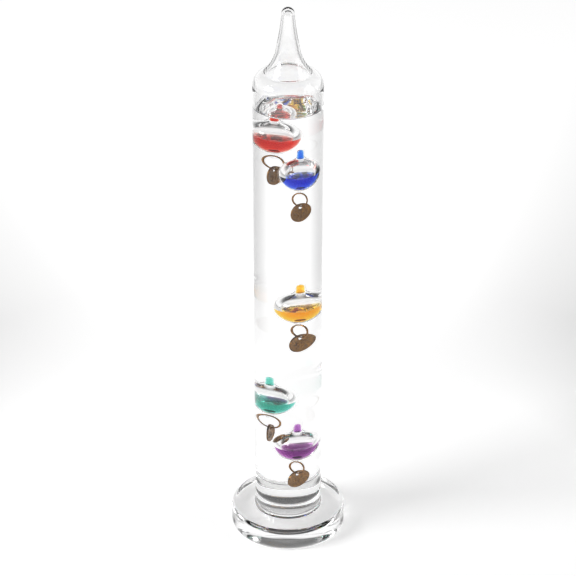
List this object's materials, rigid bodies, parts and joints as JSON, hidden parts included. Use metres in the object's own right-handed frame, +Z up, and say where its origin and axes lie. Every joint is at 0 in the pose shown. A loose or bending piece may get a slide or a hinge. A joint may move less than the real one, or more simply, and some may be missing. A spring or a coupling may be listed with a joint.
{
  "type": "galileo thermometer",
  "caption": "Sealed glass cylinder of clear liquid with coloured glass floats that rise and sink and carry hanging brass tags.",
  "frame": {"origin": "centre of the foot's flat underside", "axes": "+Z up along the cylinder's axis; the viewer of the picture stands on the -Y side and +X is to the right"},
  "size_m": [0.069, 0.069, 0.3364],
  "materials": {
    "vessel_glass": "polished",
    "carrier_liquid": "gloss",
    "bulb_glass": "polished",
    "red_liquid": "gloss",
    "blue_liquid": "gloss",
    "yellow_liquid": "gloss",
    "green_liquid": "gloss",
    "purple_liquid": "gloss",
    "ring_brass": "satin",
    "tag_brass": "satin"
  },
  "bodies": {
    "vessel": {"glass_cylinder": "vessel_glass", "glass_foot": "vessel_glass", "clear_liquid": "carrier_liquid"},
    "red_pool": {"red_fill": "red_liquid"},
    "red_float": {"red_bulb": "bulb_glass", "red_plug": "red_liquid"},
    "red_jump_ring": {"red_ring": "ring_brass"},
    "red_temperature_tag": {"red_tag": "tag_brass"},
    "blue_pool": {"blue_fill": "blue_liquid"},
    "blue_float": {"blue_bulb": "bulb_glass", "blue_plug": "blue_liquid"},
    "blue_jump_ring": {"blue_ring": "ring_brass"},
    "blue_temperature_tag": {"blue_tag": "tag_brass"},
    "yellow_pool": {"yellow_fill": "yellow_liquid"},
    "yellow_float": {"yellow_bulb": "bulb_glass", "yellow_plug": "yellow_liquid"},
    "yellow_jump_ring": {"yellow_ring": "ring_brass"},
    "yellow_temperature_tag": {"yellow_tag": "tag_brass"},
    "green_pool": {"green_fill": "green_liquid"},
    "green_float": {"green_bulb": "bulb_glass", "green_plug": "green_liquid"},
    "green_jump_ring": {"green_ring": "ring_brass"},
    "green_temperature_tag": {"green_tag": "tag_brass"},
    "purple_pool": {"purple_fill": "purple_liquid"},
    "purple_float": {"purple_bulb": "bulb_glass", "purple_plug": "purple_liquid"},
    "purple_jump_ring": {"purple_ring": "ring_brass"},
    "purple_temperature_tag": {"purple_tag": "tag_brass"}
  },
  "joints": [
    {"name": "red_rise", "type": "slide", "parent": "vessel", "child": "red_pool", "axis": [0, 0, 1], "range_m": [-0.004, 0], "deforming": ["clear_liquid"]},
    {"name": "red_turn", "type": "hinge", "parent": "red_pool", "child": "red_float", "pos_m": [-0.0047, 0.005, 0.2599], "axis": [0, 0, 1], "range_deg": [-20, 20]},
    {"name": "red_ring_swing", "type": "hinge", "parent": "red_float", "child": "red_jump_ring", "pos_m": [-0.0047, 0.005, 0.24819], "axis": [0.788, -0.6157, 0], "range_deg": [-15, 15]},
    {"name": "red_tag_swing", "type": "hinge", "parent": "red_jump_ring", "child": "red_temperature_tag", "pos_m": [-0.0047, 0.005, 0.24004], "axis": [0.8192, -0.5736, 0], "range_deg": [-15, 15]},
    {"name": "blue_rise", "type": "slide", "parent": "vessel", "child": "blue_pool", "axis": [0, 0, 1], "range_m": [-0.038, 0.0035]},
    {"name": "blue_turn", "type": "hinge", "parent": "blue_pool", "child": "blue_float", "pos_m": [0.0054, -0.0056, 0.2402], "axis": [0, 0, 1], "continuous": true},
    {"name": "blue_ring_swing", "type": "hinge", "parent": "blue_float", "child": "blue_jump_ring", "pos_m": [0.0054, -0.0056, 0.22849], "axis": [0.866, -0.5, 0], "range_deg": [-12, 12]},
    {"name": "blue_tag_swing", "type": "hinge", "parent": "blue_jump_ring", "child": "blue_temperature_tag", "pos_m": [0.0054, -0.0056, 0.22034], "axis": [0.7193, -0.6947, 0], "range_deg": [-12, 12]},
    {"name": "yellow_rise", "type": "slide", "parent": "vessel", "child": "yellow_pool", "axis": [0, 0, 1], "range_m": [-0.014, 0.038]},
    {"name": "yellow_turn", "type": "hinge", "parent": "yellow_pool", "child": "yellow_float", "pos_m": [0.0042, 0.0052, 0.15059], "axis": [0, 0, 1], "continuous": true},
    {"name": "yellow_ring_swing", "type": "hinge", "parent": "yellow_float", "child": "yellow_jump_ring", "pos_m": [0.0042, 0.0052, 0.13889], "axis": [0.7431, -0.6691, 0], "range_deg": [-15, 15]},
    {"name": "yellow_tag_swing", "type": "hinge", "parent": "yellow_jump_ring", "child": "yellow_temperature_tag", "pos_m": [0.0042, 0.0052, 0.13074], "axis": [0.788, -0.6157, 0], "range_deg": [-15, 15]},
    {"name": "green_rise", "type": "slide", "parent": "vessel", "child": "green_pool", "axis": [0, 0, 1], "range_m": [-0.004, 0.014]},
    {"name": "green_turn", "type": "hinge", "parent": "green_pool", "child": "green_float", "pos_m": [-0.0063, 0.0051, 0.0876], "axis": [0, 0, 1], "range_deg": [-12, 12]},
    {"name": "green_ring_swing", "type": "hinge", "parent": "green_float", "child": "green_jump_ring", "pos_m": [-0.0063, 0.0051, 0.07589], "axis": [0.848, -0.5299, 0], "range_deg": [-12, 12]},
    {"name": "green_tag_swing", "type": "hinge", "parent": "green_jump_ring", "child": "green_temperature_tag", "pos_m": [-0.0063, 0.0051, 0.06774], "axis": [0.9272, -0.3746, 0], "range_deg": [-12, 12]},
    {"name": "purple_rise", "type": "slide", "parent": "vessel", "child": "purple_pool", "axis": [0, 0, 1], "range_m": [-0.005, 0.0035]},
    {"name": "purple_turn", "type": "hinge", "parent": "purple_pool", "child": "purple_float", "pos_m": [0.0037, 0.0005, 0.0572], "axis": [0, 0, 1], "continuous": true},
    {"name": "purple_ring_swing", "type": "hinge", "parent": "purple_float", "child": "purple_jump_ring", "pos_m": [0.0037, 0.0005, 0.04549], "axis": [0.7431, -0.6691, 0], "range_deg": [-15, 15]},
    {"name": "purple_tag_swing", "type": "hinge", "parent": "purple_jump_ring", "child": "purple_temperature_tag", "pos_m": [0.0037, 0.0005, 0.03734], "axis": [0.788, -0.6157, 0], "range_deg": [-15, 15]}
  ]
}
